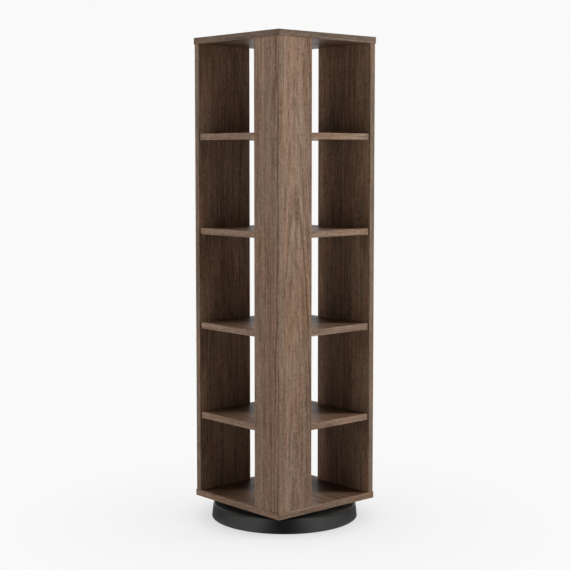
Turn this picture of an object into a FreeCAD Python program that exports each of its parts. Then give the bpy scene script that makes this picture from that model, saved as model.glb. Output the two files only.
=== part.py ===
import FreeCAD, Part
import math
import os
from collections import defaultdict

# Rotating media tower: a square five-tier tower of laminated boards that turns on a round base.
# Millimetres, +Z up. The origin is on the floor, on the axis that the tower turns about.
# The post stands at the front corner (+X, -Y). The left face looks along -Y and the right along +X.

# Tower boards
SIDE = 320.0               # width of the square tower over its uprights
BOARD = 16.0               # thickness of every board
EDGE_BAND = 1.0            # thickness of the strip glued to each open board edge
PLATE_OVERHANG = 1.5       # top and bottom panels stand out past the uprights
POST_BOARD_WIDTH = 90.0    # each of the two boards of the front corner post
LEFT_PANEL_WIDTH = 167.0
RIGHT_PANEL_WIDTH = 190.0
SHELF_SETBACK = 3.0        # shelf edges lie this far behind the faces of the uprights
NOTCH_CLEARANCE = 0.5      # between a shelf's notch and the edge of the upright it goes round

# Clear height of each tier, counted from the top
TIER_1_CLEAR = 223.0
TIER_2_CLEAR = 221.0
TIER_3_CLEAR = 224.0
TIER_4_CLEAR = 215.0
TIER_5_CLEAR = 188.0

# Cam fittings and dowels that hold the boards together
CAM_DIAMETER = 15.0
CAM_SKIN = 3.5             # board left behind a cam's hole
CAM_REACH = 24.0           # from a board's end to the centre of its cam
CAM_SLOT_WIDTH = 1.6
CAM_SLOT_DEPTH = 2.0
CAM_SLOT_END = 3.0         # cam metal left at each end of the screwdriver slot
PANEL_CAM_INSET = 40.0     # from a side panel's edges to its cams
POST_CAM_INSET = 25.0      # from a post board's open edge to its cam
BOLT_THREAD_DIAMETER = 7.0
BOLT_NECK_DIAMETER = 5.0
BOLT_HEAD_DIAMETER = 7.0
BOLT_HEAD_LENGTH = 3.5
BOLT_SKIN = 5.0            # board left behind a bolt's thread
CAP_DIAMETER = 17.0        # stick-on cap over a cam
CAP_THICKNESS = 0.5
DOWEL_DIAMETER = 8.0
DOWEL_DEEP = 16.0          # a dowel's length in the end of a board
DOWEL_SKIN = 6.0           # board left behind a dowel's hole in a face
DOWEL_CHAMFER = 1.0
CORNER_DOWEL_COUNT = 8     # along the glued corner of the post
HARDWARE_FIT = 0.1         # radial clearance of dowels, bolts, cams and screws in their holes
CHANNEL_FIT = 0.3          # round a bolt's head inside its cam
HOLE_END_GAP = 0.5         # room left past the end of a dowel, bolt or screw

# Long screws that hold the uprights on the bottom panel
UPRIGHT_SCREW_DIAMETER = 7.0
UPRIGHT_SCREW_HEAD_DIAMETER = 10.0
UPRIGHT_SCREW_HEAD_HEIGHT = 3.0
UPRIGHT_SCREW_BITE = 34.0     # length in the upright

# Ball bearing between the base and the bottom panel
BEARING_HEIGHT = 8.0       # from the base's top to the bottom panel
BEARING_PITCH_RADIUS = 136.0
RING_WIDTH = 15.0
RING_GAP = 2.0             # between the two rings
RING_STEP = 0.6            # a ring's free face stays this far from the part it passes
BALL_DIAMETER = 4.5
BALL_COUNT = 36
BALL_FIT = 0.3             # between a ball and its groove
CAGE_THICKNESS = 1.2
CAGE_RIM = 0.7             # cage left above and below each ball
POCKET_FIT = 0.15          # between a ball and its pocket
RING_SCREW_COUNT = 6
RING_SCREW_DIAMETER = 4.0
RING_SCREW_HEAD_DIAMETER = 7.5
RING_SCREW_HEAD_HEIGHT = 2.2
RING_SCREW_SKIN = 5.0      # panel left above a screw's tip
RING_SCREW_BASE_BITE = 12.0  # length of an outer ring's screw in the base
RING_SCREW_ANGLE = 15.0    # turn of the first screw from +X, in degrees

# Round base
SHELL_HEIGHT = 37.5
SHELL_LEDGE = 29.5         # top of the base outside the bearing
SHELL_DRAFT = 4.5          # the bottom rim's radius less the top's
SHELL_EDGE_ROUND = 7.0
SHELL_WALL = 3.5
SHELL_TOP_WALL = 4.0
RIM_CLEAR = 2.0            # from the floor to the rim
RIB_COUNT = 12
RIB_THICKNESS = 2.5
HUB_RADIUS = 40.0
BOSS_DIAMETER = 11.0
ACCESS_DIAMETER = 14.0     # holes for driving the inner ring's screws from below
ACCESS_COUNT = 2

# Steel weight under the base, and the feet below it
WEIGHT_THICKNESS = 3.0
WEIGHT_CLEARANCE = 0.4     # round the weight inside the shell
WEIGHT_SCREW_COUNT = 6
WEIGHT_SCREW_INSET = 15.0  # from the weight's edge to its screws
WEIGHT_SCREW_ANGLE = 45.0
WEIGHT_SCREW_DIAMETER = 4.0
WEIGHT_SCREW_HEAD_DIAMETER = 7.6
WEIGHT_SCREW_HEAD_HEIGHT = 2.0
WEIGHT_SCREW_BITE = 12.0   # length in the boss
FOOT_COUNT = 6
FOOT_HEIGHT = 3.0
FOOT_DIAMETER = 26.0
FOOT_TAPER = 1.0           # a foot's radius at its top less its radius on the floor
FOOT_INSET = 20.0          # from the weight's edge to a foot's centre
FOOT_ANGLE = 15.0

HEX_SOCKET_SHARE = 0.55    # a screw's socket across its corners, as a share of its head

X = FreeCAD.Vector(1, 0, 0)
Y = FreeCAD.Vector(0, 1, 0)
Z = FreeCAD.Vector(0, 0, 1)
ORIGIN = FreeCAD.Vector(0, 0, 0)
SAME_LEVEL = 1e-6

# Plan of the tower
HALF = SIDE / 2
INNER = HALF - BOARD
SHELF_EDGE = HALF - SHELF_SETBACK

# Levels, from the floor up
BASE_TOP = RIM_CLEAR + SHELL_HEIGHT
TOWER_BOTTOM = BASE_TOP + BEARING_HEIGHT
UPRIGHT_BOTTOM = TOWER_BOTTOM + BOARD
SHELF_4 = UPRIGHT_BOTTOM + TIER_5_CLEAR
SHELF_3 = SHELF_4 + BOARD + TIER_4_CLEAR
SHELF_2 = SHELF_3 + BOARD + TIER_3_CLEAR
SHELF_1 = SHELF_2 + BOARD + TIER_2_CLEAR
UPRIGHT_TOP = SHELF_1 + BOARD + TIER_1_CLEAR
SHELF_LEVELS = {"shelf_1": SHELF_1, "shelf_2": SHELF_2, "shelf_3": SHELF_3, "shelf_4": SHELF_4}

# Bearing and base, from the bearing's pitch circle outwards
BEARING_MIDDLE = BASE_TOP + BEARING_HEIGHT / 2
OUTER_RING_BORE = BEARING_PITCH_RADIUS + RING_GAP / 2
OUTER_RING_RADIUS = OUTER_RING_BORE + RING_WIDTH
INNER_RING_RADIUS = BEARING_PITCH_RADIUS - RING_GAP / 2
INNER_RING_BORE = INNER_RING_RADIUS - RING_WIDTH
OUTER_SCREW_RADIUS = OUTER_RING_BORE + RING_WIDTH / 2
INNER_SCREW_RADIUS = INNER_RING_BORE + RING_WIDTH / 2
RING_HEIGHT = BEARING_HEIGHT - RING_STEP
SHELL_TOP_RADIUS = OUTER_RING_RADIUS + SHELL_LEDGE
SHELL_RIM_RADIUS = SHELL_TOP_RADIUS + SHELL_DRAFT
CAVITY_TOP = BASE_TOP - SHELL_TOP_WALL
WEIGHT_TOP = FOOT_HEIGHT + WEIGHT_THICKNESS
WEIGHT_RISE = (WEIGHT_TOP - RIM_CLEAR) / SHELL_HEIGHT
WEIGHT_RADIUS = SHELL_RIM_RADIUS - SHELL_WALL - SHELL_DRAFT * WEIGHT_RISE - WEIGHT_CLEARANCE

# What has been drilled out of each board, and the hardware of each node
holes = defaultdict(list)
hardware = defaultdict(list)


def save(node, shapes):
    """Write the solids of one node."""
    solids = [solid for shape in shapes for solid in shape.Solids]
    shape = solids[0] if len(solids) == 1 else Part.makeCompound(solids)
    shape.exportStep(f"parts/{node}.step")


def drilled(node, solid):
    """A board with its holes cut."""
    return solid.cut(holes[node]) if holes[node] else solid


def span(first, second):
    """A block between two opposite corners."""
    low = FreeCAD.Vector(*[min(pair) for pair in zip(first, second)])
    high = FreeCAD.Vector(*[max(pair) for pair in zip(first, second)])
    size = high - low
    return Part.makeBox(size.x, size.y, size.z, low)


def block(x_low, x_high, y_low, y_high, z_low, z_high):
    return span((x_low, y_low, z_low), (x_high, y_high, z_high))


def rod(start, direction, radius, length):
    return Part.makeCylinder(radius, length, start, direction)


def tube(bore, radius, z_low, z_high):
    """A ring about the tower's axis."""
    height = z_high - z_low
    outside = rod(Z * z_low, Z, radius, height)
    return outside.cut(rod(Z * z_low, Z, bore, height))


def turned(points):
    """A solid turned about the tower's axis from its half outline, given as radius and height."""
    corners = [FreeCAD.Vector(radius, 0, height) for radius, height in points]
    return Part.Face(Part.makePolygon(corners + corners[:1])).revolve(ORIGIN, Z, 360)


def polar(radius, degrees, height):
    turn = math.radians(degrees)
    return FreeCAD.Vector(radius * math.cos(turn), radius * math.sin(turn), height)


def around(count, radius, first_angle, height):
    """Evenly spaced places on a circle about the tower's axis."""
    return [polar(radius, first_angle + 360.0 * i / count, height) for i in range(count)]


def flat_head(face, into, diameter, head_diameter, head_height, length):
    """A countersunk screw's outside, its head level with the face it is driven from."""
    head = Part.makeCone(head_diameter / 2, diameter / 2, head_height, face, into)
    return head.fuse(rod(face, into, diameter / 2, length)).removeSplitter()


def hex_socket(face, into, corners, depth):
    """The driver's socket in a screw's head."""
    points = [face + polar(corners / 2, 60.0 * i, 0.0) for i in range(7)]
    return Part.Face(Part.makePolygon(points)).extrude(into * depth)


def screw(node, through, face, into, diameter, head_diameter, head_height, length):
    """A countersunk screw, with its hole cut in every node that it goes through."""
    body = flat_head(face, into, diameter, head_diameter, head_height, length)
    socket = hex_socket(face, into, head_diameter * HEX_SOCKET_SHARE, head_height)
    hardware[node].append(body.cut(socket))
    spare = 2 * HARDWARE_FIT
    hole = flat_head(
        face, into, diameter + spare, head_diameter + spare, head_height, length + HOLE_END_GAP
    )
    for other in through:
        holes[other].append(hole)


def dowel(node, shallow, deep, seat, into):
    """A wooden dowel across the joint at seat: into the face of one board and the end of another."""
    shallow_depth = BOARD - DOWEL_SKIN
    length = shallow_depth + DOWEL_DEEP
    start = seat - into * shallow_depth
    peg = rod(start, into, DOWEL_DIAMETER / 2, length)
    hardware[node].append(peg.makeChamfer(DOWEL_CHAMFER, [edge for edge in peg.Edges if edge.Closed]))
    hole = rod(
        start - into * HOLE_END_GAP, into, DOWEL_DIAMETER / 2 + HARDWARE_FIT, length + 2 * HOLE_END_GAP
    )
    holes[shallow].append(hole)
    holes[deep].append(hole)


def cam_fitting(group, threaded, housed, seat, into, face):
    """A bolt screwed into the face of one board, and the cam in the other that draws it tight.

    The boards meet at seat. The bolt points into the housed board, and the cam's mouth is on
    the side of that board that face points to.
    """
    thread_depth = BOARD - BOLT_SKIN
    head_start = CAM_REACH - BOLT_HEAD_LENGTH / 2
    thread = rod(seat - into * thread_depth, into, BOLT_THREAD_DIAMETER / 2, thread_depth)
    neck = rod(seat, into, BOLT_NECK_DIAMETER / 2, head_start)
    head = rod(seat + into * head_start, into, BOLT_HEAD_DIAMETER / 2, BOLT_HEAD_LENGTH)
    hardware[f"{group}_cam_bolts"].append(thread.fuse([neck, head]).removeSplitter())
    holes[threaded].append(
        rod(
            seat - into * (thread_depth + HOLE_END_GAP), into,
            BOLT_THREAD_DIAMETER / 2 + HARDWARE_FIT, thread_depth + HOLE_END_GAP,
        )
    )
    holes[housed].append(rod(seat, into, BOLT_HEAD_DIAMETER / 2 + CHANNEL_FIT, CAM_REACH))

    mouth = seat + into * CAM_REACH + face * (BOARD / 2)
    cam_depth = BOARD - CAM_SKIN - HOLE_END_GAP
    cam_radius = CAM_DIAMETER / 2
    body = rod(mouth, -face, cam_radius, cam_depth)
    channel_length = CAM_REACH + BOLT_HEAD_LENGTH / 2 + CHANNEL_FIT
    channel = rod(seat, into, BOLT_HEAD_DIAMETER / 2 + CHANNEL_FIT, channel_length)
    along_slot = into * (cam_radius - CAM_SLOT_END)
    across_slot = into.cross(face) * (CAM_SLOT_WIDTH / 2)
    slot = span(
        mouth - along_slot - across_slot, mouth + along_slot + across_slot - face * CAM_SLOT_DEPTH
    )
    hardware[f"{group}_cam_locks"].append(body.cut([channel, slot]))
    holes[housed].append(rod(mouth, -face, cam_radius + HARDWARE_FIT, BOARD - CAM_SKIN))
    hardware["cam_cover_caps"].append(rod(mouth, face, CAP_DIAMETER / 2, CAP_THICKNESS))


class Upright:
    """A vertical board. Places on it are measured along it from the open edge that shows in front,
    and inwards from its inner face."""

    def __init__(self, node, corner, along, inward, width, far_band, cams, dowel_place):
        self.node = node
        self.corner = corner
        self.along = along
        self.inward = inward
        self.width = width
        self.far_band = far_band
        self.cams = cams
        self.dowel_place = dowel_place

    def point(self, along, inward, height):
        return self.corner + self.along * along + self.inward * inward + Z * height

    def strip(self, start, end):
        """The board's full height between two places along it."""
        low = self.point(start, -BOARD, UPRIGHT_BOTTOM)
        return span(low, self.point(end, 0.0, UPRIGHT_TOP))

    def core(self):
        end = self.width - EDGE_BAND if self.far_band else self.width
        return self.strip(EDGE_BAND, end)

    def bands(self):
        near = [self.strip(0.0, EDGE_BAND)]
        far = [self.strip(self.width - EDGE_BAND, self.width)] if self.far_band else []
        return near + far


def side_panel(node, corner, along, inward, width):
    cams = (PANEL_CAM_INSET, width - PANEL_CAM_INSET)
    return Upright(node, corner, along, inward, width, True, cams, width / 2)


def post_board(node, corner, along, inward, far_band, to_corner):
    """One of the post's two boards, where to_corner is how far along it the inside corner lies."""
    dowel_place = (POST_CAM_INSET + to_corner) / 2
    cams = (POST_CAM_INSET,)
    return Upright(node, corner, along, inward, POST_BOARD_WIDTH, far_band, cams, dowel_place)


# The post's left board covers the end of its right board, so only the left one has two open edges.
POST_LEFT = post_board(
    "front_post_left_board",
    FreeCAD.Vector(HALF - POST_BOARD_WIDTH, -INNER, 0), X, Y, True, POST_BOARD_WIDTH - BOARD,
)
POST_RIGHT = post_board(
    "front_post_right_board",
    FreeCAD.Vector(INNER, POST_BOARD_WIDTH - INNER, 0), -Y, -X, False, POST_BOARD_WIDTH,
)
LEFT_PANEL = side_panel("left_side_panel", FreeCAD.Vector(-INNER, -HALF, 0), Y, X, LEFT_PANEL_WIDTH)
RIGHT_PANEL = side_panel("right_side_panel", FreeCAD.Vector(HALF, INNER, 0), -X, -Y, RIGHT_PANEL_WIDTH)
UPRIGHTS = (POST_LEFT, POST_RIGHT, LEFT_PANEL, RIGHT_PANEL)


def outer_ring_places(height):
    return around(RING_SCREW_COUNT, OUTER_SCREW_RADIUS, RING_SCREW_ANGLE, height)


def weight_screw_places(height):
    radius = WEIGHT_RADIUS - WEIGHT_SCREW_INSET
    return around(WEIGHT_SCREW_COUNT, radius, WEIGHT_SCREW_ANGLE, height)


def base_shell():
    """A moulded black shell, open below, with ribs under its top and bosses for its screws."""
    outline = [
        (0, BASE_TOP), (SHELL_TOP_RADIUS, BASE_TOP), (SHELL_RIM_RADIUS, RIM_CLEAR), (0, RIM_CLEAR),
    ]
    inside = [
        (0, CAVITY_TOP), (SHELL_TOP_RADIUS - SHELL_WALL, CAVITY_TOP),
        (SHELL_RIM_RADIUS - SHELL_WALL, RIM_CLEAR), (0, RIM_CLEAR),
    ]
    body, cavity = [turned(points) for points in (outline, inside)]
    top_edge = [
        edge for edge in body.Edges
        if edge.Closed and abs(edge.BoundBox.ZMin - BASE_TOP) < SAME_LEVEL
    ]
    body = body.makeFillet(SHELL_EDGE_ROUND, top_edge).cut(cavity)

    rib = block(
        HUB_RADIUS - RIB_THICKNESS, SHELL_RIM_RADIUS,
        -RIB_THICKNESS / 2, RIB_THICKNESS / 2, WEIGHT_TOP, CAVITY_TOP,
    )
    inner_parts = [tube(HUB_RADIUS - RIB_THICKNESS, HUB_RADIUS, WEIGHT_TOP, CAVITY_TOP)]
    for i in range(RIB_COUNT):
        inner_parts.append(rib.rotated(ORIGIN, Z, 360.0 * i / RIB_COUNT))
    for place in outer_ring_places(WEIGHT_TOP) + weight_screw_places(WEIGHT_TOP):
        inner_parts.append(rod(place, Z, BOSS_DIAMETER / 2, CAVITY_TOP - WEIGHT_TOP))
    stiffening = inner_parts[0].multiFuse(inner_parts[1:]).common(cavity)

    for place in around(ACCESS_COUNT, INNER_SCREW_RADIUS, RING_SCREW_ANGLE, WEIGHT_TOP):
        holes["base_shell"].append(rod(place, Z, ACCESS_DIAMETER / 2, BASE_TOP - WEIGHT_TOP))
    return drilled("base_shell", body.fuse(stiffening).removeSplitter())


def drive_base_screws():
    for place in weight_screw_places(FOOT_HEIGHT):
        screw(
            "weight_plate_screws", ("base_weight_plate", "base_shell"), place, Z,
            WEIGHT_SCREW_DIAMETER, WEIGHT_SCREW_HEAD_DIAMETER, WEIGHT_SCREW_HEAD_HEIGHT,
            WEIGHT_THICKNESS + WEIGHT_SCREW_BITE,
        )
    for place in outer_ring_places(BASE_TOP + RING_HEIGHT):
        screw(
            "outer_ring_screws", ("bearing_outer_ring", "base_shell"), place, -Z,
            RING_SCREW_DIAMETER, RING_SCREW_HEAD_DIAMETER, RING_SCREW_HEAD_HEIGHT,
            RING_HEIGHT + RING_SCREW_BASE_BITE,
        )


def drive_tower_screws():
    """Screws that go up into the tower: through the inner ring, and through the bottom panel."""
    for place in around(RING_SCREW_COUNT, INNER_SCREW_RADIUS, RING_SCREW_ANGLE, BASE_TOP + RING_STEP):
        screw(
            "inner_ring_screws", ("bearing_inner_ring", "bottom_panel"), place, Z,
            RING_SCREW_DIAMETER, RING_SCREW_HEAD_DIAMETER, RING_SCREW_HEAD_HEIGHT,
            RING_HEIGHT + BOARD - RING_SCREW_SKIN,
        )
    for upright in UPRIGHTS:
        for cam in upright.cams:
            screw(
                "upright_screws", ("bottom_panel", upright.node),
                upright.point(cam, -BOARD / 2, TOWER_BOTTOM), Z,
                UPRIGHT_SCREW_DIAMETER, UPRIGHT_SCREW_HEAD_DIAMETER, UPRIGHT_SCREW_HEAD_HEIGHT,
                BOARD + UPRIGHT_SCREW_BITE,
            )


def join_boards():
    """Cams and dowels at the shelves, the top and the bottom, and down the corner of the post."""
    for upright in UPRIGHTS:
        for shelf, level in SHELF_LEVELS.items():
            middle = level + BOARD / 2
            for cam in upright.cams:
                seat = upright.point(cam, 0.0, middle)
                cam_fitting("shelf", upright.node, shelf, seat, upright.inward, -Z)
            seat = upright.point(upright.dowel_place, 0.0, middle)
            dowel("shelf_dowels", upright.node, shelf, seat, upright.inward)
        for cam in upright.cams:
            seat = upright.point(cam, -BOARD / 2, UPRIGHT_TOP)
            cam_fitting("top", "top_panel", upright.node, seat, -Z, upright.inward)
        seat = upright.point(upright.dowel_place, -BOARD / 2, UPRIGHT_TOP)
        dowel("top_dowels", "top_panel", upright.node, seat, -Z)
        seat = upright.point(upright.dowel_place, -BOARD / 2, UPRIGHT_BOTTOM)
        dowel("bottom_dowels", "bottom_panel", upright.node, seat, Z)
    spacing = (UPRIGHT_TOP - UPRIGHT_BOTTOM) / CORNER_DOWEL_COUNT
    for i in range(CORNER_DOWEL_COUNT):
        height = UPRIGHT_BOTTOM + spacing * (i + 0.5)
        seat = POST_RIGHT.point(POST_BOARD_WIDTH, -BOARD / 2, height)
        dowel("post_corner_dowels", POST_LEFT.node, POST_RIGHT.node, seat, Y)


def base_weight_plate():
    plate = rod(Z * FOOT_HEIGHT, Z, WEIGHT_RADIUS, WEIGHT_THICKNESS)
    return drilled("base_weight_plate", plate)


def rubber_feet():
    radius = FOOT_DIAMETER / 2
    places = around(FOOT_COUNT, WEIGHT_RADIUS - FOOT_INSET, FOOT_ANGLE, 0.0)
    return [Part.makeCone(radius - FOOT_TAPER, radius, FOOT_HEIGHT, place, Z) for place in places]


def ball_groove():
    return Part.makeTorus(BEARING_PITCH_RADIUS, BALL_DIAMETER / 2 + BALL_FIT, Z * BEARING_MIDDLE, Z)


def bearing_outer_ring():
    ring = tube(OUTER_RING_BORE, OUTER_RING_RADIUS, BASE_TOP, BASE_TOP + RING_HEIGHT)
    return drilled("bearing_outer_ring", ring.cut(ball_groove()))


def bearing_inner_ring():
    ring = tube(INNER_RING_BORE, INNER_RING_RADIUS, BASE_TOP + RING_STEP, TOWER_BOTTOM)
    return drilled("bearing_inner_ring", ring.cut(ball_groove()))


def ball_places():
    return around(BALL_COUNT, BEARING_PITCH_RADIUS, 0.0, BEARING_MIDDLE)


def bearing_balls():
    return [Part.makeSphere(BALL_DIAMETER / 2, place) for place in ball_places()]


def bearing_cage():
    """A thin plastic ring that keeps the balls apart, one to a pocket."""
    half_height = BALL_DIAMETER / 2 + POCKET_FIT + CAGE_RIM
    ring = tube(
        BEARING_PITCH_RADIUS - CAGE_THICKNESS / 2, BEARING_PITCH_RADIUS + CAGE_THICKNESS / 2,
        BEARING_MIDDLE - half_height, BEARING_MIDDLE + half_height,
    )
    pockets = []
    for place in ball_places():
        outwards = FreeCAD.Vector(place.x, place.y, 0).normalize()
        start = place - outwards * CAGE_THICKNESS
        pockets.append(rod(start, outwards, BALL_DIAMETER / 2 + POCKET_FIT, 2 * CAGE_THICKNESS))
    return ring.cut(pockets)


def end_panel(node, level):
    """The square top or bottom panel, and the strips round its edge."""
    edge = HALF + PLATE_OVERHANG
    core = edge - EDGE_BAND
    z_high = level + BOARD
    panel = drilled(node, block(-core, core, -core, core, level, z_high))
    bands = [
        block(-edge, edge, -edge, -core, level, z_high),
        block(-edge, edge, core, edge, level, z_high),
        block(-edge, -core, -core, core, level, z_high),
        block(core, edge, -core, core, level, z_high),
    ]
    return panel, bands


def shelf_board(node, level):
    """A square shelf notched round the four uprights, and the strips on its four open edges."""
    core = SHELF_EDGE - EDGE_BAND
    front_end = HALF - POST_BOARD_WIDTH - NOTCH_CLEARANCE
    right_start = POST_BOARD_WIDTH - INNER + NOTCH_CLEARANCE
    left_start = LEFT_PANEL_WIDTH - HALF + NOTCH_CLEARANCE
    rear_end = HALF - RIGHT_PANEL_WIDTH - NOTCH_CLEARANCE
    outline = [
        (-INNER, -core), (front_end, -core), (front_end, -INNER), (INNER, -INNER),
        (INNER, right_start), (core, right_start), (core, INNER), (rear_end, INNER),
        (rear_end, core), (-core, core), (-core, left_start), (-INNER, left_start),
    ]
    corners = [FreeCAD.Vector(x, y, level) for x, y in outline]
    board = Part.Face(Part.makePolygon(corners + corners[:1])).extrude(Z * BOARD)
    z_high = level + BOARD
    bands = [
        block(-INNER, front_end, -SHELF_EDGE, -core, level, z_high),
        block(core, SHELF_EDGE, right_start, INNER, level, z_high),
        block(-SHELF_EDGE, -core, left_start, SHELF_EDGE, level, z_high),
        block(-core, rear_end, core, SHELF_EDGE, level, z_high),
    ]
    return drilled(node, board), bands


def build():
    os.makedirs("parts", exist_ok=True)
    drive_base_screws()
    drive_tower_screws()
    join_boards()

    save("base_shell", [base_shell()])
    save("base_weight_plate", [base_weight_plate()])
    save("rubber_feet", rubber_feet())
    save("bearing_outer_ring", [bearing_outer_ring()])
    save("bearing_inner_ring", [bearing_inner_ring()])
    save("bearing_balls", bearing_balls())
    save("bearing_cage", [bearing_cage()])

    for node, level in (("bottom_panel", TOWER_BOTTOM), ("top_panel", UPRIGHT_TOP)):
        panel, bands = end_panel(node, level)
        save(node, [panel])
        save(f"{node}_edge_bands", bands)
    for upright in UPRIGHTS:
        save(upright.node, [drilled(upright.node, upright.core())])
        save(f"{upright.node}_edge_bands", upright.bands())
    for node, level in SHELF_LEVELS.items():
        shelf, bands = shelf_board(node, level)
        save(node, [shelf])
        save(f"{node}_edge_bands", bands)
    for node, solids in hardware.items():
        save(node, solids)


build()
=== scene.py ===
import math

import bmesh
import bpy
from mathutils import Matrix, Vector


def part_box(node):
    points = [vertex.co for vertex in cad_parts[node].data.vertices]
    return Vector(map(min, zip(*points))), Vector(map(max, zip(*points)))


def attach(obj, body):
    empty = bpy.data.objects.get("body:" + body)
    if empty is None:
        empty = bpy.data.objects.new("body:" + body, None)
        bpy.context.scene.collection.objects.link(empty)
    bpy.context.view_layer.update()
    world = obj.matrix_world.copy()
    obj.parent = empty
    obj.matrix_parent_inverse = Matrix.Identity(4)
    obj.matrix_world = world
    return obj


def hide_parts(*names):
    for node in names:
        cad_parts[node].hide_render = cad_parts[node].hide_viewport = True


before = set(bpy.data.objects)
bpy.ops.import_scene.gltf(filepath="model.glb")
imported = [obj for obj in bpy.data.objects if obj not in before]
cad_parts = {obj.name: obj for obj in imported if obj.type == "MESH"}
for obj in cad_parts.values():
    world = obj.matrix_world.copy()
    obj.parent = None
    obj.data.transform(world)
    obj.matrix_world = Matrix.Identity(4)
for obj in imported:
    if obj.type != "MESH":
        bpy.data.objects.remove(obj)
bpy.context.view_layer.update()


# Rubber feet: six low pads of black rubber, pressed from sheet and glued under the weight plate.
# They carry the whole tower, and show only as a dark line between the base and the floor.

CLOUD_DETAIL = 3.0
GRAIN_DETAIL = 2.0
TWO_NOISES = (0.6, 1.4)  # the range that two noises added together mostly keep to


def put(tree, kind, inputs, **settings):
    """Add a node. Each input is a value, or another node's output to link."""
    node = tree.nodes.new("ShaderNode" + kind)
    for key, value in settings.items():
        setattr(node, key, value)
    for key, value in inputs.items():
        if isinstance(value, bpy.types.NodeSocket):
            tree.links.new(value, node.inputs[key])
        else:
            node.inputs[key].default_value = value
    return node


def start_finish(name, **constants):
    """A new material, with the values that are the same all over it set on its shader."""
    finish = bpy.data.materials.new(name)
    finish.use_nodes = True
    tree = finish.node_tree
    shader = tree.nodes["Principled BSDF"]
    for key, value in constants.items():
        shader.inputs[key.replace("_", " ")].default_value = value
    return finish, tree, shader


def own_place(tree):
    return tree.nodes.new("ShaderNodeTexCoord").outputs["Object"]


def blotches(tree, place, across, along, detail):
    """Noise drawn out along Z, with so many blotches to the metre across and along."""
    scaled = put(tree, "VectorMath", {0: place, 1: (across, across, along)}, operation="MULTIPLY")
    noise = put(tree, "TexNoise", {"Vector": scaled.outputs[0], "Scale": 1.0, "Detail": detail})
    return noise.outputs["Fac"]


def between(tree, amount, from_low, from_high, to_low, to_high):
    """The amount brought from one range to another, and held at its ends."""
    node = put(tree, "MapRange", {0: amount, 1: from_low, 2: from_high, 3: to_low, 4: to_high})
    return node.outputs[0]


def colours(tree, amount, stops):
    """A colour for each amount, from stops of place and linear colour."""
    ramp = put(tree, "ValToRGB", {"Fac": amount})
    elements = ramp.color_ramp.elements
    while len(elements) < len(stops):
        elements.new(0.5)
    for element, (place, colour) in zip(elements, stops):
        element.position = place
        element.color = (*colour, 1.0)
    return ramp.outputs["Color"]


def bumps(tree, shader, height, strength, depth):
    node = put(tree, "Bump", {"Height": height, "Strength": strength, "Distance": depth})
    tree.links.new(node.outputs["Normal"], shader.inputs["Normal"])


def grainy(name, coarse, fine, stops, rough, bump, depth, **constants):
    """A finish with clouds, fine grains, a roughness that follows them and a little relief.

    coarse and fine are how many clouds and grains there are to the metre.
    """
    finish, tree, shader = start_finish(name, **constants)
    place = own_place(tree)
    clouds = blotches(tree, place, coarse, coarse, CLOUD_DETAIL)
    grains = blotches(tree, place, fine, fine, GRAIN_DETAIL)
    mixed = put(tree, "Math", {0: clouds, 1: grains}, operation="ADD")
    amount = between(tree, mixed.outputs[0], *TWO_NOISES, 0.0, 1.0)
    tree.links.new(colours(tree, amount, stops), shader.inputs["Base Color"])
    tree.links.new(between(tree, amount, 0.0, 1.0, *rough), shader.inputs["Roughness"])
    bumps(tree, shader, grains, bump, depth)
    return finish


def wear(finish, *nodes):
    """Give solids of the frame their finish."""
    for node in nodes:
        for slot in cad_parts[node].material_slots:
            slot.material = finish


rubber = grainy(
    "foot_pressed_rubber", coarse=60.0, fine=2200.0,
    stops=((0.0, (0.010, 0.010, 0.010)), (1.0, (0.022, 0.021, 0.020))),
    rough=(0.72, 0.90), bump=0.25, depth=0.0002,
)
wear(rubber, "rubber_feet")


# Weight plate: a 3 mm steel disc, cut from sheet and painted black with a slight orange peel.
# It closes the base from below and keeps the tall tower from tipping.

black_paint = grainy(
    "weight_plate_black_paint", coarse=18.0, fine=700.0,
    stops=((0.0, (0.014, 0.014, 0.015)), (1.0, (0.026, 0.026, 0.027))),
    rough=(0.32, 0.46), bump=0.2, depth=0.0002,
)
wear(black_paint, "base_weight_plate")


# Base shell: a round cover moulded in satin black plastic, with a drafted side and a rounded top
# edge. Its ribs and screw bosses are inside, and the mould's fine spark texture is on its skin.

BASE_BLACK = ((0.25, (0.0135, 0.0129, 0.0120)), (0.75, (0.0202, 0.0195, 0.0183)))
BASE_ROUGHNESS = (0.30, 0.42)
BASE_CLOUDS = 14.0
SPARKS = 1500.0
SPARK_DETAIL = 1.0
SHEEN_RANGE = (0.1, 0.4)  # the range that clouds times sparks mostly keeps to
satin_black, tree, shader = start_finish("base_satin_black", Specular_IOR_Level=0.66)
place = own_place(tree)
clouds = blotches(tree, place, BASE_CLOUDS, BASE_CLOUDS, CLOUD_DETAIL)
sparks = blotches(tree, place, SPARKS, SPARKS, SPARK_DETAIL)
tree.links.new(colours(tree, clouds, BASE_BLACK), shader.inputs["Base Color"])
sheen = put(tree, "Math", {0: clouds, 1: sparks}, operation="MULTIPLY")
satin = between(tree, sheen.outputs[0], *SHEEN_RANGE, *BASE_ROUGHNESS)
tree.links.new(satin, shader.inputs["Roughness"])
bumps(tree, shader, sparks, strength=0.22, depth=0.00012)
wear(satin_black, "base_shell")


# Screws: countersunk steel screws with a hexagon socket, plated with bright zinc. They hold the
# weight plate, the two bearing rings and the four uprights, and all are driven from hidden sides.

zinc_plate = grainy(
    "screw_zinc_plate", coarse=90.0, fine=1600.0,
    stops=((0.0, (0.42, 0.42, 0.41)), (0.5, (0.55, 0.56, 0.57)), (1.0, (0.66, 0.66, 0.64))),
    rough=(0.24, 0.42), bump=0.12, depth=0.0001,
    Metallic=1.0,
)
wear(zinc_plate, "weight_plate_screws", "outer_ring_screws", "inner_ring_screws", "upright_screws")


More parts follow.
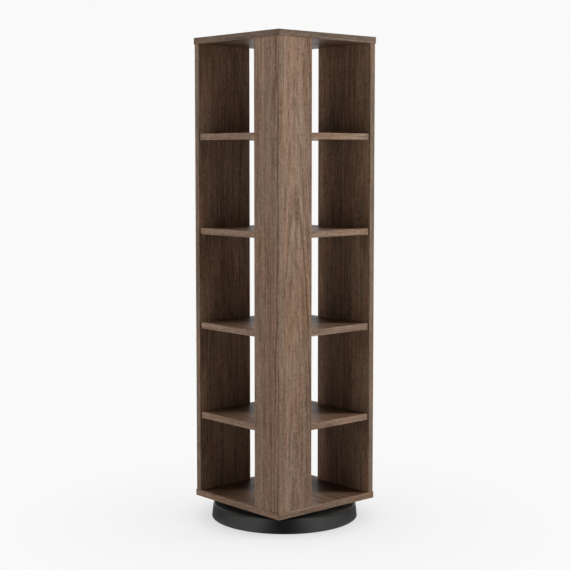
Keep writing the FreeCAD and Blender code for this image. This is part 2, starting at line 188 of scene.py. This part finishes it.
# Bearing rings: two flat aluminium rings turned on a lathe, one screwed to the base and one to the
# tower. A groove for the balls runs between them, and fine tool rings show. Their near black is
# painted shade, for the dark gap under the tower where they show.

RING_SHADE_BLACK = ((0.0, (0.0075, 0.0075, 0.0080)), (1.0, (0.0140, 0.0138, 0.0140)))
RING_ROUGHNESS = (0.40, 0.56)
RING_CLOUDS = 30.0
TOOL_MARKS = 2600.0
painted_shade_black, tree, shader = start_finish("bearing_painted_shade_black", Specular_IOR_Level=0.3)
place = own_place(tree)
flat = put(tree, "VectorMath", {0: place, 1: (1.0, 1.0, 0.0)}, operation="MULTIPLY")
radius = put(tree, "VectorMath", {0: flat.outputs[0]}, operation="LENGTH").outputs["Value"]
tool_rings = put(
    tree, "TexNoise", {"W": radius, "Scale": TOOL_MARKS, "Detail": GRAIN_DETAIL},
    noise_dimensions="1D",
).outputs["Fac"]
clouds = blotches(tree, place, RING_CLOUDS, RING_CLOUDS, GRAIN_DETAIL)
mixed = put(tree, "Math", {0: tool_rings, 1: clouds}, operation="ADD")
amount = between(tree, mixed.outputs[0], *TWO_NOISES, 0.0, 1.0)
tree.links.new(colours(tree, amount, RING_SHADE_BLACK), shader.inputs["Base Color"])
tree.links.new(between(tree, amount, 0.0, 1.0, *RING_ROUGHNESS), shader.inputs["Roughness"])
bumps(tree, shader, tool_rings, strength=0.15, depth=0.0001)
wear(painted_shade_black, "bearing_outer_ring", "bearing_inner_ring")


# Balls and cage: 36 polished steel balls that roll in the groove, and a thin nylon ring with a
# pocket for each, which keeps them apart. The cage keeps the nylon's natural milky white.

polished_steel = grainy(
    "ball_polished_steel", coarse=300.0, fine=4000.0,
    stops=((0.0, (0.52, 0.53, 0.54)), (1.0, (0.64, 0.64, 0.64))),
    rough=(0.08, 0.17), bump=0.03, depth=0.00005,
    Metallic=1.0,
)
wear(polished_steel, "bearing_balls")
natural_nylon = grainy(
    "cage_natural_nylon", coarse=80.0, fine=1800.0,
    stops=((0.0, (0.58, 0.55, 0.47)), (1.0, (0.70, 0.68, 0.61))),
    rough=(0.42, 0.56), bump=0.1, depth=0.0001,
)
wear(natural_nylon, "bearing_cage")


# Bottom panel: a square of 16 mm particle board, faced on both sides with walnut printed laminate,
# its grain from left to right. A 1 mm plastic band in a like print is glued to each of its edges,
# and the band's corners are scraped round. Its print, like the top's, is darker than the shelves':
# painted shade, because its top lies in shade under the bottom shelf.

BAND = 0.001
BAND_ROUND = 0.0006
ROUND_STEPS = 3
STRIP_SHIFT = 0.83  # metres of print between one strip of a board and the next
WIDTH_ALONG_X = (0.0, 0.0, 0.0)
WIDTH_ALONG_Y = (0.0, 0.0, math.radians(-90.0))
GRAIN_LEVEL = tuple(Matrix(((0, 1, 0), (0, 0, 1), (1, 0, 0))).to_euler())
FACE_TONES = (
    (0.10, (0.090, 0.052, 0.031)), (0.50, (0.202, 0.125, 0.079)), (0.90, (0.308, 0.199, 0.133)),
)
# The end panels' faces take the same print at four fifths of the brightness: painted shade for the
# bottom panel's top and the top panel's underside.
END_PANEL_SHADE_TONES = (
    (0.10, (0.072, 0.042, 0.025)), (0.50, (0.162, 0.100, 0.063)), (0.90, (0.246, 0.159, 0.106)),
)
# The bands' print is a little lighter than the faces', and greyer with a painted sheen that stands in
# for the lamps' reflection.
BAND_TONES = (
    (0.10, (0.121, 0.081, 0.056)), (0.50, (0.230, 0.157, 0.111)), (0.90, (0.343, 0.250, 0.188)),
)
PINKISH = (1.08, 0.98, 0.93, 1.0)
PORE_SHADE = (0.52, 0.48, 0.45, 1.0)

# How many streaks there are to the metre, across and along the grain, and their share in the tone.
PRINT_LAYERS = (
    (26.0, 2.2, 0.45),
    (140.0, 5.0, 0.52),
    (240.0, 14.0, 0.62),
    (420.0, 36.0, 0.62),
    (800.0, 110.0, 0.90),
)
STREAK_DETAIL = 1.0
WARM_PATCHES = (28.0, 6.0)
WARM_DETAIL = 2.0
WARM_RANGE = (0.42, 0.62)
PORES = (1300.0, 85.0)
PORE_RANGE = (0.57, 0.64)
TONE_RANGE = (0.2, 0.8)
PRINT_ROUGHNESS = (0.48, 0.38)
PRINT_GLOSS = 0.10

# The rings of the log: how far, in metres, slow sways and fine jags move them, and their share.
SWAYS = (5.0, 2.5)
SWAY_REACH = 0.012
WANDERS = (14.0, 6.0)
WANDER_REACH = 0.010
JAGS = (240.0, 14.0)
RING_JAG = 0.004
STRIPE_JAG = 0.016
RING_DETAIL = 2.0
RINGS = 240.0
RING_SHARE = 0.60
BAND_LINES = (420.0, 2.0)
BAND_LINE_SHARE = 0.5


def tinted(tree, amount, colour, tint):
    """The colour multiplied by a tint, as far as the amount says."""
    mix = put(tree, "Mix", {0: amount, 6: colour, 7: tint}, data_type="RGBA", blend_type="MULTIPLY")
    return mix.outputs[2]


def printed_wood(tree, shader, place, layers, tones):
    """The walnut print, on coordinates whose Z runs along the grain.

    Each layer is an amount about 0.5, with its share in the tone. Streaks, fibres, flecks and pores
    of the print are added to the layers given.
    """
    layers = list(layers)
    for across, along, share in PRINT_LAYERS:
        layers.append((blotches(tree, place, across, along, STREAK_DETAIL), share))
    flecks = layers[-1][0]
    amount = 0.5 - sum(share for layer, share in layers) / 2
    for layer, share in layers:
        added = put(tree, "Math", {0: layer, 1: share, 2: amount}, operation="MULTIPLY_ADD")
        amount = added.outputs[0]
    patches = blotches(tree, place, *WARM_PATCHES, WARM_DETAIL)
    warmth = between(tree, patches, *WARM_RANGE, 0.0, 1.0)
    pores = between(tree, blotches(tree, place, *PORES, STREAK_DETAIL), *PORE_RANGE, 0.0, 1.0)
    colour = tinted(tree, warmth, colours(tree, amount, tones), PINKISH)
    tree.links.new(tinted(tree, pores, colour, PORE_SHADE), shader.inputs["Base Color"])
    satin = between(tree, amount, *TONE_RANGE, *PRINT_ROUGHNESS)
    tree.links.new(satin, shader.inputs["Roughness"])
    relief = put(tree, "Math", {0: flecks, 1: pores}, operation="SUBTRACT")
    bumps(tree, shader, relief.outputs[0], strength=0.12, depth=0.0001)


def laminate(name, turn, sheet, heart, depth, taper, streaks_and_painted_shade=(), tones=FACE_TONES):
    """A board's face: a sheet of print, as if cut so deep from a log whose heart is at that place.

    turn brings the grain upright, sheet picks another stretch of the print, and taper is how fast
    the cut leaves the heart towards the top, which draws the rings out into arches. A stripe is a
    place across the board, half a width, and how far it darkens or lightens the print. On the posts a
    stripe is a streak of the print; on the shelves and the end panels it is painted shade.
    """
    finish, tree, shader = start_finish(name, Specular_IOR_Level=PRINT_GLOSS)
    mapped = put(
        tree, "Mapping",
        {"Vector": own_place(tree), "Rotation": turn, "Location": (0.0, sheet, 0.0)},
    )
    place = mapped.outputs[0]
    parts = put(tree, "SeparateXYZ", {0: place})
    x, y, z = parts.outputs
    sway = blotches(tree, place, *SWAYS, RING_DETAIL)
    wander = blotches(tree, place, *WANDERS, RING_DETAIL)
    jags = blotches(tree, place, *JAGS, STREAK_DETAIL)
    across = put(tree, "Math", {0: x, 1: heart + SWAY_REACH / 2}, operation="SUBTRACT").outputs[0]
    across = put(tree, "Math", {0: sway, 1: SWAY_REACH, 2: across}, operation="MULTIPLY_ADD").outputs[0]
    cut = put(tree, "Math", {0: z, 1: taper, 2: depth}, operation="MULTIPLY_ADD").outputs[0]
    cut = put(tree, "Math", {0: wander, 1: WANDER_REACH, 2: cut}, operation="MULTIPLY_ADD").outputs[0]
    spoke = put(tree, "CombineXYZ", {0: across, 1: cut})
    radius = put(tree, "VectorMath", {0: spoke.outputs[0]}, operation="LENGTH").outputs["Value"]
    radius = put(tree, "Math", {0: jags, 1: RING_JAG, 2: radius}, operation="MULTIPLY_ADD").outputs[0]
    rings = put(
        tree, "TexNoise", {"W": radius, "Scale": RINGS, "Detail": RING_DETAIL}, noise_dimensions="1D"
    )
    layers = [(rings.outputs["Fac"], RING_SHARE)]
    near = STRIPE_JAG / 2
    for middle, half, strength in streaks_and_painted_shade:
        off = put(tree, "Math", {0: x, 1: middle}, operation="SUBTRACT").outputs[0]
        off = put(tree, "Math", {0: off}, operation="ABSOLUTE").outputs[0]
        off = put(tree, "Math", {0: jags, 1: STRIPE_JAG, 2: off}, operation="MULTIPLY_ADD").outputs[0]
        stripe = put(
            tree, "MapRange", {0: off, 1: near, 2: near + half, 3: 0.5 + strength, 4: 0.5},
            interpolation_type="SMOOTHSTEP",
        )
        layers.append((stripe.outputs[0], 1.0))
    fibres = put(tree, "CombineXYZ", {0: across, 1: y, 2: z})
    printed_wood(tree, shader, fibres.outputs[0], layers, tones)
    return finish


def band_print(name, tones):
    """The print of a glued strip, on the strip's own grain coordinates."""
    finish, tree, shader = start_finish(name, Specular_IOR_Level=PRINT_GLOSS)
    place = put(tree, "Attribute", {}, attribute_name="grain").outputs["Vector"]
    lines = blotches(tree, place, *BAND_LINES, RING_DETAIL)
    printed_wood(tree, shader, place, [(lines, BAND_LINE_SHARE)], tones)
    return finish


walnut_band = band_print("walnut_band_print", BAND_TONES)


def glued_bands(node, strips, finish=walnut_band):
    """The strips on one board's open edges, each from corner to corner, with the way it faces."""
    bm = bmesh.new()
    number = bm.verts.layers.int.new("strip")
    for i, (low, high, faces) in enumerate(strips):
        middle = (low + high) / 2
        verts = bmesh.ops.create_cube(bm, size=1.0)["verts"]
        bmesh.ops.scale(bm, vec=high - low, verts=verts)
        bmesh.ops.translate(bm, vec=middle, verts=verts)
        for vert in verts:
            vert[number] = i
        edges = {edge for vert in verts for edge in vert.link_edges}
        outer = [e for e in edges if all((v.co - middle).dot(faces) > 0 for v in e.verts)]
        bmesh.ops.bevel(
            bm, geom=outer, offset=BAND_ROUND, affect="EDGES", segments=ROUND_STEPS,
            profile=0.5, material=-1,
        )
    grain = bm.verts.layers.float_vector.new("grain")
    for vert in bm.verts:
        low, high, faces = strips[vert[number]]
        size = high - low
        along = max(range(3), key=lambda axis: size[axis])
        across = (along + 1) % 3
        through = (along + 2) % 3
        shift = STRIP_SHIFT * vert[number]
        vert[grain] = (vert.co[across], vert.co[through] + shift, vert.co[along] + shift)
    mesh = bpy.data.meshes.new(node + "_glued")
    bm.to_mesh(mesh)
    bm.free()
    piece = bpy.data.objects.new(node + "_glued", mesh)
    bpy.context.scene.collection.objects.link(piece)
    mesh.materials.append(finish)
    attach(piece, "tower")
    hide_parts(node)


def end_panel_strips(node):
    """Strips right along the front and rear edges, and between them on the left and right."""
    low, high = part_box(node)
    return [
        (low, Vector((high.x, low.y + BAND, high.z)), Vector((0, -1, 0))),
        (Vector((low.x, high.y - BAND, low.z)), high, Vector((0, 1, 0))),
        (
            Vector((low.x, low.y + BAND, low.z)),
            Vector((low.x + BAND, high.y - BAND, high.z)), Vector((-1, 0, 0)),
        ),
        (
            Vector((high.x - BAND, low.y + BAND, low.z)),
            Vector((high.x, high.y - BAND, high.z)), Vector((1, 0, 0)),
        ),
    ]


# The darker print and the two darker stripes, one near the front edge and one near the right side
# panel, are painted shade on the bottom panel's top.
bottom_walnut = laminate(
    "bottom_panel_walnut", turn=GRAIN_LEVEL, sheet=2.3, heart=0.02, depth=0.05, taper=0.05,
    streaks_and_painted_shade=[(-0.150, 0.080, -0.22), (0.130, 0.080, -0.20)], tones=END_PANEL_SHADE_TONES,
)
wear(bottom_walnut, "bottom_panel")
glued_bands("bottom_panel_edge_bands", end_panel_strips("bottom_panel_edge_bands"))


# Dowels: smooth pegs of turned beech, 8 mm thick with chamfered ends, glued into holes in two
# boards. They set the uprights, shelves and panels in line, and hold the post's corner closed.

beech = grainy(
    "dowel_turned_beech", coarse=120.0, fine=1300.0,
    stops=((0.0, (0.42, 0.27, 0.15)), (0.5, (0.56, 0.39, 0.24)), (1.0, (0.66, 0.49, 0.33))),
    rough=(0.55, 0.72), bump=0.2, depth=0.0002,
)
wear(beech, "shelf_dowels", "top_dowels", "bottom_dowels", "post_corner_dowels")


# Corner post: two upright boards of the same laminate, doweled and glued in an L. The left board
# covers the end of the right one, so its banded end shows as a narrow strip beside the corner.
# The right board's print has a run of nested arches, and the left one's is straight.

def upright_strips(node, axis):
    """Strips on the two open edges of an upright, which lie at the ends of that axis."""
    low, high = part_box(node)
    way = Vector((0, 0, 0))
    way[axis] = 1.0
    near, far = high.copy(), low.copy()
    near[axis] = low[axis] + BAND
    far[axis] = high[axis] - BAND
    return [(low, near, -way), (far, high, way)]


# The posts' print is lighter and greyer than the other faces': a painted sheen, standing in for the
# lamps' reflection on the post.
POST_SHEEN_TONES = (
    (0.10, (0.099, 0.061, 0.041)), (0.50, (0.221, 0.148, 0.103)), (0.90, (0.337, 0.235, 0.174)),
)
post_left_walnut = laminate(
    "post_left_walnut", turn=WIDTH_ALONG_X, sheet=0.0, heart=0.19, depth=0.03, taper=0.015,
    streaks_and_painted_shade=[(0.150, 0.014, -0.06)], tones=POST_SHEEN_TONES,
)
wear(post_left_walnut, "front_post_left_board")
post_right_walnut = laminate(
    "post_right_walnut", turn=WIDTH_ALONG_Y, sheet=5.1, heart=-0.107, depth=0.010, taper=0.055,
    streaks_and_painted_shade=[(-0.066, 0.026, -0.16), (-0.140, 0.030, 0.10)], tones=POST_SHEEN_TONES,
)
wear(post_right_walnut, "front_post_right_board")
glued_bands(
    "front_post_left_board_edge_bands", upright_strips("front_post_left_board_edge_bands", 0)
)
band_low, band_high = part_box("front_post_right_board_edge_bands")
glued_bands("front_post_right_board_edge_bands", [(band_low, band_high, Vector((0, 1, 0)))])


# Side panels: one upright board at the left corner and one at the right, each standing across the
# end of a front face. Its banded edge shows there, and its inner side shows behind the shelves.
# Their bands come from a roll that is a little darker and greyer.

SIDE_BAND_TONES = (
    (0.10, (0.095, 0.067, 0.047)), (0.50, (0.180, 0.130, 0.092)), (0.90, (0.268, 0.207, 0.157)),
)
side_band = band_print("side_band_print", SIDE_BAND_TONES)
left_walnut = laminate(
    "left_panel_walnut", turn=WIDTH_ALONG_Y, sheet=9.7, heart=0.03, depth=0.05, taper=0.02
)
wear(left_walnut, "left_side_panel")
right_walnut = laminate(
    "right_panel_walnut", turn=WIDTH_ALONG_X, sheet=14.2, heart=-0.06, depth=0.05, taper=0.02
)
wear(right_walnut, "right_side_panel")
for node, axis in (("left_side_panel_edge_bands", 1), ("right_side_panel_edge_bands", 0)):
    glued_bands(node, upright_strips(node, axis), side_band)


# Cam fittings: steel bolts screwed into one board and die cast zinc cams let into the other, which
# draw the joint tight. Thin caps in a like print are stuck over the cams, so that they hardly show.

wear(zinc_plate, "shelf_cam_bolts", "top_cam_bolts")
die_cast = grainy(
    "cam_die_cast_zinc", coarse=70.0, fine=1100.0,
    stops=((0.0, (0.30, 0.31, 0.33)), (1.0, (0.46, 0.47, 0.48))),
    rough=(0.38, 0.55), bump=0.2, depth=0.0002,
    Metallic=1.0,
)
wear(die_cast, "shelf_cam_locks", "top_cam_locks")
cap_film = laminate(
    "cap_walnut_film", turn=WIDTH_ALONG_X, sheet=55.4, heart=0.0, depth=0.05, taper=0.02
)
wear(cap_film, "cam_cover_caps")


# Shelves: four square boards like the panels, notched round the uprights and drawn against them by
# the cams. Their open edges lie 3 mm behind the uprights' faces and carry a glued band.

NOTCH_CLEARANCE = 0.0005
SHELF_SHEETS = {"shelf_1": 20.3, "shelf_2": 27.1, "shelf_3": 33.8, "shelf_4": 41.9}
inner_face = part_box("right_side_panel")[0].y
post_left_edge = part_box("front_post_left_board_edge_bands")[0].x - NOTCH_CLEARANCE
post_right_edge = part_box("front_post_right_board_edge_bands")[1].y + NOTCH_CLEARANCE
left_panel_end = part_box("left_side_panel_edge_bands")[1].y + NOTCH_CLEARANCE
right_panel_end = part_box("right_side_panel_edge_bands")[0].x - NOTCH_CLEARANCE
for shelf, sheet in SHELF_SHEETS.items():
    # The darker stripe near each shelf's front edge, where the shelf shows in the left bay, is painted
    # shade.
    shelf_walnut = laminate(
        shelf + "_walnut", turn=GRAIN_LEVEL, sheet=sheet, heart=-0.03, depth=0.04, taper=0.06,
        streaks_and_painted_shade=[(-0.150, 0.080, -0.06)],
    )
    wear(shelf_walnut, shelf)
    node = shelf + "_edge_bands"
    low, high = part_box(node)
    glued_bands(node, [
        (
            Vector((-inner_face, low.y, low.z)),
            Vector((post_left_edge, low.y + BAND, high.z)), Vector((0, -1, 0)),
        ),
        (
            Vector((high.x - BAND, post_right_edge, low.z)),
            Vector((high.x, inner_face, high.z)), Vector((1, 0, 0)),
        ),
        (
            Vector((low.x, left_panel_end, low.z)),
            Vector((low.x + BAND, high.y, high.z)), Vector((-1, 0, 0)),
        ),
        (
            Vector((low.x + BAND, high.y - BAND, low.z)),
            Vector((right_panel_end, high.y, high.z)), Vector((0, 1, 0)),
        ),
    ])


# Top panel: the same square board as the bottom panel, held down on the uprights by hidden cams.
# Its bands come from another roll, which is darker and greyer than the rest.

TOP_BAND_TONES = (
    (0.10, (0.083, 0.059, 0.044)), (0.50, (0.143, 0.105, 0.079)), (0.90, (0.211, 0.163, 0.129)),
)
# Its faces take the end panels' darker print, which is painted shade for its underside. The darker
# stripe near the front edge is painted shade there as well.
top_walnut = laminate(
    "top_panel_walnut", turn=GRAIN_LEVEL, sheet=48.6, heart=0.05, depth=0.05, taper=0.05,
    streaks_and_painted_shade=[(-0.150, 0.080, -0.16)], tones=END_PANEL_SHADE_TONES,
)
wear(top_walnut, "top_panel")
glued_bands(
    "top_panel_edge_bands", end_panel_strips("top_panel_edge_bands"),
    band_print("top_band_print", TOP_BAND_TONES),
)


# Studio: a plain pale floor that fades into a white room, with a soft lamp at the left, one at the
# right and one overhead. Reflections show a room that is dark behind the camera, bright on either
# side of it and white at the back, and that stays where it is when the camera moves.

WHITE = 0.95
WHITE_TINT = (1.0, 1.0, 0.996, 1.0)
PAPER = (0.45, 0.448, 0.443, 1.0)
FLOOR_RADIUS = 3.0
FLOOR_SIDES = 96
FLOOR_DROP = 0.0003
LOW_LIGHT = 0.90
LOW_LIGHT_ENDS = (0.08, 0.18)
CAMERA_BEARING = 48.37
CAMERA_AWAY = 3.284
CAMERA_HEIGHT = 0.915
CAMERA_DIP = 4.84

# Tones of the room, from behind the camera to behind the tower.
ROOM_TONES = ((0.015, 0.04), (0.06, 1.0), (0.18, 1.0), (0.42, 0.15), (0.78, 0.10), (0.92, 1.0))

# How much of the floor is plain white, by the distance from the tower's axis in metres. Less white
# near the base paints a soft shadow round it, over the real shadow that the lit paper carries.
FLOOR_FADE_AND_PAINTED_SHADOW = (
    (0.186, 0.68), (0.208, 0.76), (0.243, 0.862), (0.285, 0.905), (0.40, 0.95), (0.70, 1.0),
)
bm = bmesh.new()
bmesh.ops.create_circle(bm, cap_ends=True, segments=FLOOR_SIDES, radius=FLOOR_RADIUS)
bmesh.ops.translate(bm, vec=(0.0, 0.0, -FLOOR_DROP), verts=bm.verts)
floor_mesh = bpy.data.meshes.new("studio_floor")
bm.to_mesh(floor_mesh)
bm.free()
floor = bpy.data.objects.new("studio_floor", floor_mesh)
bpy.context.scene.collection.objects.link(floor)


def greys(stops):
    return [(place, (grey, grey, grey)) for place, grey in stops]


def directly_seen(tree):
    """1 for what the camera, a reflection or a clear piece shows, and 0 for light on its way."""
    path = put(tree, "LightPath", {})
    seen = path.outputs["Is Camera Ray"]
    for kind in ("Is Glossy Ray", "Is Transmission Ray"):
        seen = put(tree, "Math", {0: seen, 1: path.outputs[kind]}, operation="MAXIMUM").outputs[0]
    return seen


def room_white(tree):
    """White for the camera, and in reflections the tone of the room in that direction."""
    turn = math.radians(CAMERA_BEARING)
    flat = put(tree, "VectorMath", {0: own_place(tree), 1: (1.0, 1.0, 0.0)}, operation="MULTIPLY")
    flat = put(tree, "VectorMath", {0: flat.outputs[0]}, operation="NORMALIZE")
    toward = (math.sin(turn), -math.cos(turn), 0.0)
    ahead = put(tree, "VectorMath", {0: flat.outputs[0], 1: toward}, operation="DOT_PRODUCT")
    round_the_room = between(tree, ahead.outputs["Value"], -1.0, 1.0, 1.0, 0.0)
    tone = colours(tree, round_the_room, greys(ROOM_TONES))
    camera_ray = put(tree, "LightPath", {}).outputs["Is Camera Ray"]
    level = put(tree, "Math", {0: tone, 1: camera_ray}, operation="MAXIMUM")
    return put(tree, "Math", {0: level.outputs[0], 1: WHITE}, operation="MULTIPLY").outputs[0]


floor_finish, tree, shader = start_finish(
    "studio_floor_paper", Base_Color=PAPER, Roughness=0.9, Specular_IOR_Level=0.0
)
distance = put(tree, "VectorMath", {0: own_place(tree)}, operation="LENGTH").outputs["Value"]
fade_and_shadow = colours(tree, distance, greys(FLOOR_FADE_AND_PAINTED_SHADOW))
share = put(tree, "Math", {0: fade_and_shadow, 1: directly_seen(tree)}, operation="MULTIPLY")
paper_white = put(tree, "Emission", {"Color": WHITE_TINT, "Strength": room_white(tree)})
mix = put(tree, "MixShader", {0: share.outputs[0], 1: shader.outputs[0], 2: paper_white.outputs[0]})
tree.links.new(mix.outputs[0], tree.nodes["Material Output"].inputs["Surface"])
floor_mesh.materials.append(floor_finish)

studio = bpy.data.worlds.new("studio")
studio.use_nodes = True
bpy.context.scene.world = studio
tree = studio.node_tree
tree.nodes.clear()
rise = put(tree, "SeparateXYZ", {0: own_place(tree)}).outputs[2]
lit = between(tree, rise, *LOW_LIGHT_ENDS, LOW_LIGHT, 0.0)
dim = put(tree, "Background", {"Color": (1.0, 1.0, 1.0, 1.0), "Strength": lit})
white = put(tree, "Background", {"Color": WHITE_TINT, "Strength": room_white(tree)})
mix = put(tree, "MixShader", {0: directly_seen(tree), 1: dim.outputs[0], 2: white.outputs[0]})
put(tree, "OutputWorld", {"Surface": mix.outputs[0]})


def soft_lamp(name, bearing, away, height, tilt, size, power):
    """A soft lamp at that bearing from the front. It faces the tower, tilted down so far."""
    lamp = bpy.data.lights.new(name, "AREA")
    lamp.shape = "RECTANGLE"
    lamp.size, lamp.size_y = size
    lamp.energy = power
    turn = math.radians(bearing)
    holder = bpy.data.objects.new(name, lamp)
    holder.location = (away * math.sin(turn), -away * math.cos(turn), height)
    holder.rotation_euler = (math.radians(90.0 - tilt), 0.0, turn)
    holder.visible_camera = False
    holder.visible_glossy = False
    bpy.context.scene.collection.objects.link(holder)


soft_lamp("left_lamp", bearing=-46.0, away=3.0, height=0.6, tilt=0.0, size=(0.9, 1.1), power=67.5)
soft_lamp("right_lamp", bearing=138.0, away=3.3, height=1.75, tilt=8.0, size=(1.0, 1.8), power=140.0)
soft_lamp("top_lamp", bearing=0.0, away=0.0, height=3.2, tilt=90.0, size=(0.8, 0.8), power=26.0)

camera = bpy.data.cameras.new("photo_camera")
camera.lens = 82.1
camera.sensor_width = 36.0
camera.shift_x = 0.0009
camera.shift_y = -0.03
stand = bpy.data.objects.new("photo_camera", camera)
turn = math.radians(CAMERA_BEARING)
stand.location = (CAMERA_AWAY * math.sin(turn), -CAMERA_AWAY * math.cos(turn), CAMERA_HEIGHT)
stand.rotation_euler = (math.radians(90.0 - CAMERA_DIP), 0.0, turn)
bpy.context.scene.collection.objects.link(stand)
bpy.context.scene.camera = stand
bpy.context.scene.view_settings.view_transform = "Standard"
